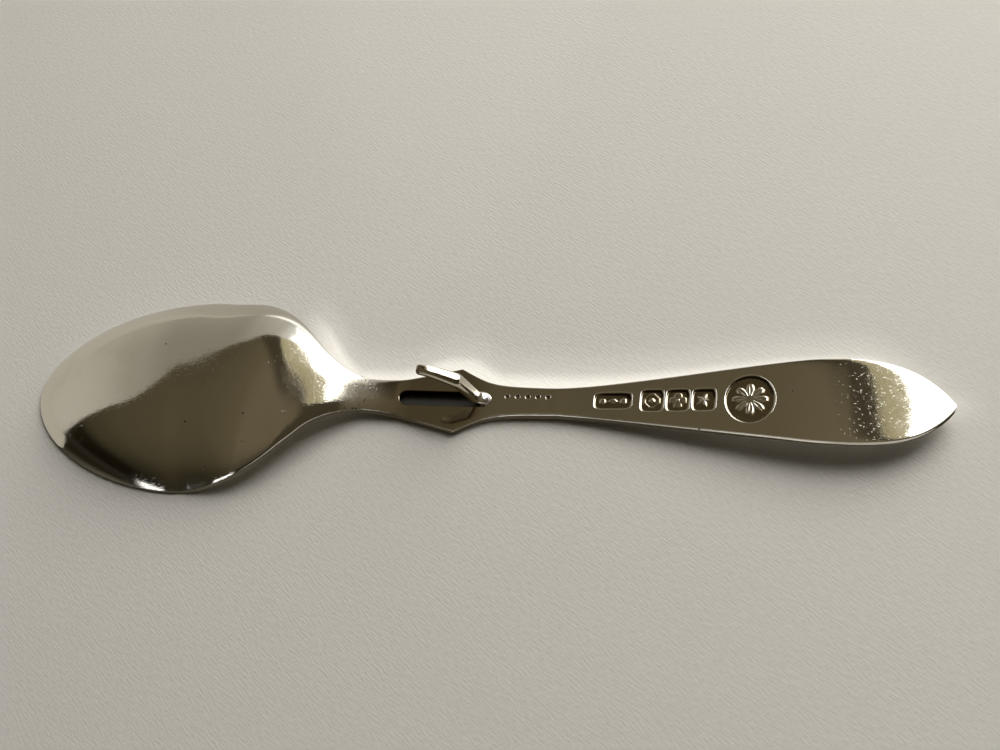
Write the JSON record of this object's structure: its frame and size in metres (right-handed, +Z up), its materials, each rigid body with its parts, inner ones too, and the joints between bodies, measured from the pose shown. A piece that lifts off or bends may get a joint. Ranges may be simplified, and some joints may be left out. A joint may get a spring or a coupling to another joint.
{
  "type": "honey spoon",
  "caption": "Pointed silver spoon, face down, with a dished bowl, a slotted flat handle and a bent strap hook that hangs it on a jar's rim.",
  "frame": {"origin": "middle of the spoon's length and width, on the plane it lies on", "axes": "+X along the spoon from the bowl's tip to the handle's tip, +Z up out of the bowl's back as the spoon lies face down"},
  "size_m": [0.155, 0.038, 0.0113],
  "materials": {
    "silver": "polished silver with fine scratches and wear",
    "solder": "bright solder, slightly lumpy"
  },
  "bodies": {
    "root": {"bowl": "silver", "handle": "silver", "hook": "silver", "hook_solder": "solder"}
  },
  "joints": []
}
